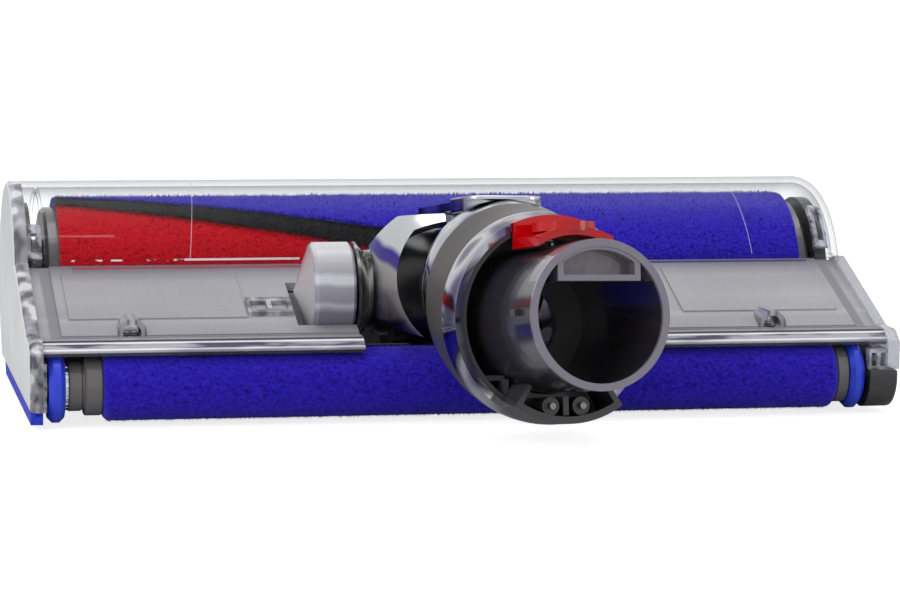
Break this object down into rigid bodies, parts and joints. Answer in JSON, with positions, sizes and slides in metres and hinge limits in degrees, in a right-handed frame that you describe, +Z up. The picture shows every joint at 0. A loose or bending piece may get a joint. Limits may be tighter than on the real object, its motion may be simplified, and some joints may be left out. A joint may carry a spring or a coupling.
{
  "type": "vacuum floor brush head",
  "caption": "Soft roller floor head for a cordless vacuum, with plush rollers, a clear cover and a steering neck with a wand socket.",
  "frame": {"origin": "centre of the bounding box at floor level, where both rollers touch", "axes": "+X along the rollers towards the right seen from behind, +Y forward, +Z up"},
  "size_m": [0.251, 0.1909, 0.0641],
  "materials": {
    "clear_plastic": "clear",
    "frosted_plastic": "frosted",
    "pale_plastic": "satin",
    "dark_plastic": "satin",
    "grey_plastic": "satin",
    "steel": "plain",
    "blue_felt": "felt",
    "blue_plush": "plush",
    "red_plush": "plush",
    "carbon_bristle": "bristle",
    "blue_plastic": "satin",
    "metallic_plastic": "metallized",
    "smoky_plastic": "smoky clear",
    "band_plastic": "matte",
    "red_plastic": "gloss",
    "contact_metal": "plated"
  },
  "bodies": {
    "head": {"front_cover": "clear_plastic", "frosted_deck": "frosted_plastic", "screw_bosses": "clear_plastic", "deck_screws": "steel", "deck_clip": "frosted_plastic", "rear_rail": "clear_plastic", "chassis": "frosted_plastic", "left_end_plate": "pale_plastic", "right_end_plate": "clear_plastic", "left_end_housing": "clear_plastic", "right_end_housing": "clear_plastic", "rear_end_cap": "dark_plastic", "rear_axle": "steel", "left_felt_seal": "blue_felt", "right_felt_seal": "blue_felt", "left_drive_housing": "dark_plastic", "motor_mount": "dark_plastic", "brush_motor": "steel", "right_bearing_block": "dark_plastic", "left_cover_clip": "clear_plastic", "right_cover_clip": "clear_plastic", "left_pivot_cover": "clear_plastic", "right_pivot_cover": "clear_plastic", "left_pivot_bush": "dark_plastic", "right_pivot_bush": "dark_plastic"},
    "front_roller": {"front_core": "dark_plastic", "drive_dog": "dark_plastic", "left_roller_ring": "grey_plastic", "right_roller_ring": "grey_plastic", "blue_pile": "blue_plush", "red_pile": "red_plush", "carbon_strips": "carbon_bristle"},
    "rear_roller": {"rear_core": "grey_plastic", "rear_pile": "blue_plush", "left_collar": "grey_plastic", "left_sleeve": "grey_plastic", "tooth_ring": "dark_plastic", "left_ring_wheel": "blue_plastic", "right_ring_wheel": "blue_plastic", "right_collar": "grey_plastic"},
    "neck": {"left_hub": "smoky_plastic", "right_hub": "smoky_plastic", "neck_shell": "metallic_plastic", "neck_duct": "dark_plastic", "steer_pin": "steel"},
    "collar": {"collar_front_ring": "metallic_plastic", "steer_cap": "metallic_plastic", "collar_band": "band_plastic", "collar_rear_ring": "metallic_plastic", "collar_liner": "dark_plastic", "wand_tube": "dark_plastic", "connector_block": "dark_plastic", "connector_tray": "dark_plastic", "contact_pins": "contact_metal", "button_spring": "steel"},
    "button": {"release_button": "red_plastic"},
    "end_lock": {"main_end_cap": "dark_plastic"}
  },
  "joints": [
    {"name": "front_roller_spin", "type": "hinge", "parent": "head", "child": "front_roller", "pos_m": [0, 0.06296, 0.0275], "axis": [1, 0, 0], "continuous": true},
    {"name": "rear_roller_spin", "type": "hinge", "parent": "head", "child": "rear_roller", "pos_m": [0, -0.01404, 0.0101], "axis": [1, 0, 0], "continuous": true},
    {"name": "neck_pitch", "type": "hinge", "parent": "head", "child": "neck", "pos_m": [0, 0.00596, 0.0335], "axis": [-1, 0, 0], "range_deg": [0, 85]},
    {"name": "neck_steer", "type": "hinge", "parent": "neck", "child": "collar", "pos_m": [0, 0.00596, 0.0335], "axis": [0, 0.1736, 0.9848], "range_deg": [-38.5, 15.5]},
    {"name": "release_button_press", "type": "slide", "parent": "collar", "child": "button", "axis": [0, -0.1736, -0.9848], "range_m": [0, 0.0015], "stiffness_N_per_m": 400, "springref_m": -0.002},
    {"name": "main_end_cap_turn", "type": "hinge", "parent": "head", "child": "end_lock", "pos_m": [0.123, 0.06296, 0.0275], "axis": [1, 0, 0], "range_deg": [0, 90]}
  ]
}
